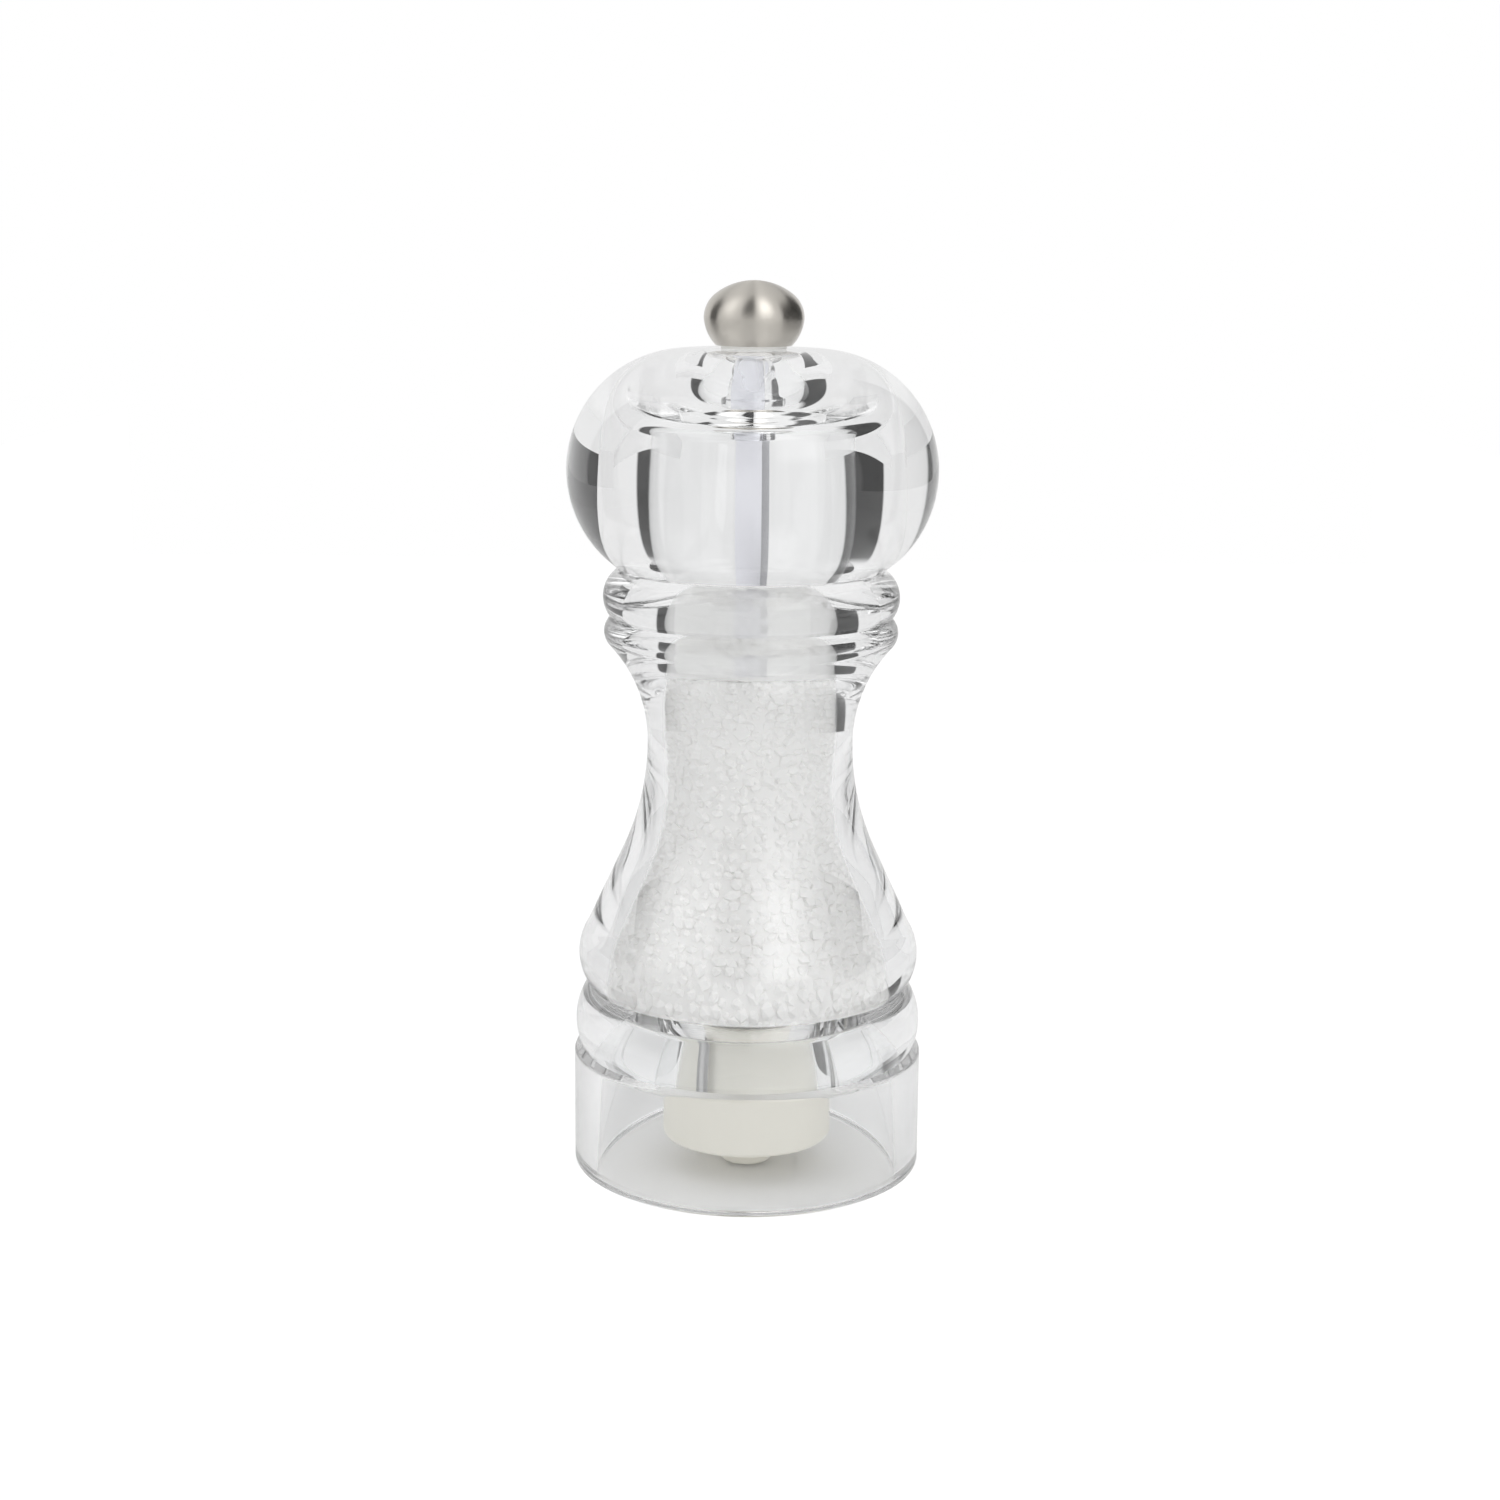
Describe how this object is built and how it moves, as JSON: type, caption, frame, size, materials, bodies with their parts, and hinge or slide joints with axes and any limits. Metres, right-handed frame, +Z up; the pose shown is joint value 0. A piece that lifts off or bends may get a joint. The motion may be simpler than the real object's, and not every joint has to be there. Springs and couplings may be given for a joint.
{
  "type": "salt and pepper mill",
  "caption": "Clear turned mill with a waisted body, a bun-shaped turning head, a steel adjusting knob and a ceramic grinder in its hollow foot, filled with coarse salt.",
  "frame": {"origin": "on the mill's axis, on the table plane under the foot", "axes": "+Z up along the axis from the foot to the knob; +X to the right and +Y away from a viewer in front"},
  "size_m": [0.0616, 0.0616, 0.1504],
  "materials": {
    "clear_acrylic": "polished, clear",
    "ivory_plastic": "moulded, satin",
    "grinding_ceramic": "fired, unglazed",
    "shaft_aluminium": "drawn bar, satin",
    "knob_steel": "turned and brushed",
    "insert_brass": "turned",
    "small_steel": "bright drawn",
    "white_nylon": "punched sheet",
    "coarse_salt": "loose crystals"
  },
  "bodies": {
    "mill_body": {"body": "clear_acrylic", "grinder_carrier": "clear_acrylic", "grinder_housing": "ivory_plastic", "housing_screws": "small_steel", "grinding_cup": "ivory_plastic", "stator_ring": "grinding_ceramic", "salt_fill": "coarse_salt"},
    "turning_bush": {"shaft_bush": "ivory_plastic", "bush_clip": "small_steel"},
    "shaft_and_rotor": {"drive_shaft": "shaft_aluminium", "rotor_core": "ivory_plastic", "rotor_burr": "grinding_ceramic", "rotor_washer": "small_steel", "rotor_nut": "ivory_plastic", "grind_spring": "small_steel", "spring_washer": "small_steel"},
    "turning_head": {"head": "clear_acrylic", "drive_bush": "clear_acrylic"},
    "adjusting_knob": {"knob": "knob_steel", "knob_insert": "insert_brass", "knob_washer": "white_nylon"}
  },
  "joints": [
    {"name": "grind_spin", "type": "hinge", "parent": "mill_body", "child": "turning_bush", "pos_m": [0, 0, 0.0284], "axis": [0, 0, 1], "continuous": true},
    {"name": "grind_adjust", "type": "slide", "parent": "turning_bush", "child": "shaft_and_rotor", "axis": [0, 0, 1], "range_m": [-0.00035, 0.0014], "deforming": ["grind_spring"]},
    {"name": "head_lift", "type": "slide", "parent": "turning_bush", "child": "turning_head", "axis": [0, 0, 1], "range_m": [0, 0.06]},
    {"name": "knob_turn", "type": "hinge", "parent": "turning_head", "child": "adjusting_knob", "pos_m": [0, 0, 0.143], "axis": [0, 0, 1], "range_deg": [-720, 180]}
  ],
  "couplings": [
    {"joint": "grind_adjust", "follows": "knob_turn", "m_per_rad": -0.0001114}
  ]
}
